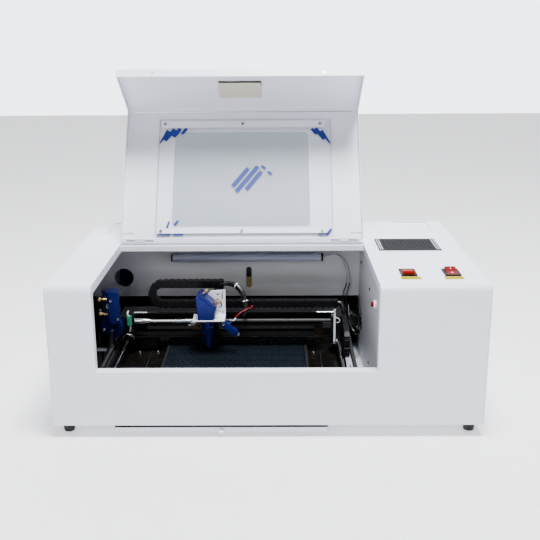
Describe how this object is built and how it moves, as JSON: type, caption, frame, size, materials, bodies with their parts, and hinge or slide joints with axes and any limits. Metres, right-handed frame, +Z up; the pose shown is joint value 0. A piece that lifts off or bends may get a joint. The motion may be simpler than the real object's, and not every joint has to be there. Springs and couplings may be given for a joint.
{
  "type": "desktop laser cutter",
  "caption": "White sheet-metal desktop laser cutter with a hinged windowed lid, belt-driven gantry and laser head over a honeycomb bed, debris tray, rear tube hatch and extractor fan.",
  "frame": {"origin": "on the floor, under the middle of the whole machine's bounding box", "axes": "+X to the operator's right, +Y from the front of the cabinet to its back, +Z up"},
  "size_m": [0.83, 0.567, 0.6783],
  "materials": {
    "white_powder_coat": "fine satin powder coat",
    "light_grey_coat": "matt light grey coat",
    "black_coated_steel": "satin black coat",
    "black_plastic": "fine moulded grain",
    "black_rubber": "matt rubber",
    "blue_anodised": "dark blue anodised",
    "chromed_steel": "polished",
    "steel": "plain machined steel",
    "red_plastic": "glossy moulded red",
    "cream_plastic": "matt cream",
    "clear_acrylic": "clear tinted sheet",
    "lamp_diffuser": "pale diffusing tube",
    "honeycomb_metal": "dark blue-grey honeycomb",
    "tube_glass": "clear glass tube",
    "circuit_board": "green board lacquer"
  },
  "bodies": {
    "cabinet": {"front_top_shell": "white_powder_coat", "left_side_panel": "white_powder_coat", "right_side_panel": "white_powder_coat", "rear_panel": "white_powder_coat", "power_inlet": "black_plastic", "bottom_pan": "light_grey_coat", "rear_partition": "light_grey_coat", "right_partition": "light_grey_coat", "vent_grille": "black_plastic", "foot_front_left": "black_rubber", "foot_front_right": "black_rubber", "foot_rear_left": "black_rubber", "foot_rear_right": "black_rubber", "lid_hinge_left": "steel", "lid_hinge_right": "steel", "hatch_hinge_rod": "steel", "main_switch_body": "black_plastic", "light_switch_body": "black_plastic", "test_button_body": "white_powder_coat", "laser_tube": "tube_glass", "tube_cradle_left": "cream_plastic", "tube_cradle_right": "cream_plastic", "first_mirror_mount": "blue_anodised", "high_voltage_supply": "steel", "controller_board": "circuit_board", "fan_housing": "black_plastic", "work_lamp": "lamp_diffuser", "lamp_lead": "white_powder_coat", "chassis_frame": "black_coated_steel", "honeycomb_bed": "honeycomb_metal", "y_rod_left": "chromed_steel", "y_rod_right": "chromed_steel", "y_belt_left": "black_rubber", "y_belt_right": "black_rubber", "y_motor": "black_coated_steel", "y_cable_chain": "black_plastic"},
    "lid": {"lid_shell": "white_powder_coat", "lid_window": "clear_acrylic", "window_bar_upper": "white_powder_coat", "window_bar_lower": "white_powder_coat", "lid_pad": "cream_plastic"},
    "hatch": {"rear_hatch": "white_powder_coat"},
    "tray": {"waste_tray": "white_powder_coat", "tray_knob": "chromed_steel"},
    "main_rocker": {"main_switch_rocker": "red_plastic"},
    "light_rocker": {"light_switch_rocker": "red_plastic"},
    "test_plunger": {"test_button": "red_plastic"},
    "fan": {"fan_rotor": "black_plastic"},
    "gantry": {"gantry_beam": "black_coated_steel", "x_guide_rod": "chromed_steel", "x_motor": "black_coated_steel", "x_belt": "black_rubber", "x_cable_chain": "black_plastic", "second_mirror_mount": "blue_anodised"},
    "carriage": {"head_carriage": "light_grey_coat", "third_mirror_mount": "blue_anodised"},
    "drive_shaft": {"y_drive_shaft": "steel"},
    "lens": {"lens_tube": "blue_anodised"},
    "pointer": {"laser_pointer": "blue_anodised"},
    "clamp_screw": {"focus_clamp_screw": "steel"}
  },
  "joints": [
    {"name": "lid_hinge", "type": "hinge", "parent": "cabinet", "child": "lid", "pos_m": [0, 0.0443, 0.31], "axis": [1, 0, 0], "range_deg": [0, 124.3]},
    {"name": "hatch_hinge", "type": "hinge", "parent": "cabinet", "child": "hatch", "pos_m": [0, 0.24, 0.3055], "axis": [-1, 0, 0], "range_deg": [0, 95]},
    {"name": "tray_slide", "type": "slide", "parent": "cabinet", "child": "tray", "axis": [0, -1, 0], "range_m": [0, 0.25]},
    {"name": "main_switch_rock", "type": "hinge", "parent": "cabinet", "child": "main_rocker", "pos_m": [0.2705, -0.1987, 0.3075], "axis": [1, 0, 0], "range_deg": [0, 20]},
    {"name": "light_switch_rock", "type": "hinge", "parent": "cabinet", "child": "light_rocker", "pos_m": [0.354, -0.1987, 0.3075], "axis": [1, 0, 0], "range_deg": [-20, 0]},
    {"name": "test_button_press", "type": "slide", "parent": "cabinet", "child": "test_plunger", "axis": [1, 0, 0], "range_m": [0, 0.003], "stiffness_N_per_m": 300},
    {"name": "fan_spin", "type": "hinge", "parent": "cabinet", "child": "fan", "pos_m": [-0.059, 0.2643, 0.176], "axis": [0, 1, 0], "continuous": true},
    {"name": "gantry_slide", "type": "slide", "parent": "cabinet", "child": "gantry", "axis": [0, 1, 0], "range_m": [-0.112, 0.088], "deforming": ["y_cable_chain"]},
    {"name": "carriage_slide", "type": "slide", "parent": "gantry", "child": "carriage", "axis": [1, 0, 0], "range_m": [-0.0905, 0.2095], "deforming": ["x_cable_chain"]},
    {"name": "y_shaft_spin", "type": "hinge", "parent": "cabinet", "child": "drive_shaft", "pos_m": [0, 0.1245, 0.107], "axis": [1, 0, 0], "range_deg": [-1100, 1100]},
    {"name": "focus_slide", "type": "slide", "parent": "carriage", "child": "lens", "axis": [0, 0, -1], "range_m": [0, 0.008]},
    {"name": "pointer_swivel", "type": "hinge", "parent": "carriage", "child": "pointer", "pos_m": [-0.0955, -0.0835, 0.162], "axis": [0, 1, 0], "range_deg": [0, 40]},
    {"name": "clamp_screw_turn", "type": "hinge", "parent": "carriage", "child": "clamp_screw", "pos_m": [-0.159, -0.0753, 0.1648], "axis": [0, 1, 0], "range_deg": [0, 180]}
  ],
  "couplings": [
    {"joint": "y_shaft_spin", "follows": "gantry_slide", "rad_per_m": -144.93}
  ]
}
